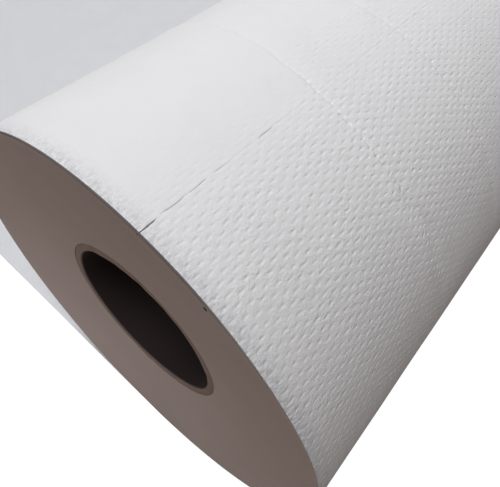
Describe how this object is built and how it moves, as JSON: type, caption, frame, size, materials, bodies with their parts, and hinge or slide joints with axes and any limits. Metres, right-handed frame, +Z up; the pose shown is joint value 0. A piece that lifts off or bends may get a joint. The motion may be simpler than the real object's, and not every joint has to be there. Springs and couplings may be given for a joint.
{
  "type": "exam table paper roll",
  "caption": "Roll of perforated, embossed white examination table paper on a cardboard core, lying on its side with a free sheet drawn off flat.",
  "frame": {"origin": "on the roll's axis, half way along the core", "axes": "+Y along the roll's axis from the near, dished end to the far end; +Z up; the free sheet lies towards -X"},
  "size_m": [0.332, 0.5042, 0.1197],
  "materials": {
    "cardboard": "matt grey-brown board",
    "tissue": "soft matt embossed tissue"
  },
  "bodies": {
    "root": {"core": "cardboard", "paper": "tissue"}
  },
  "joints": []
}
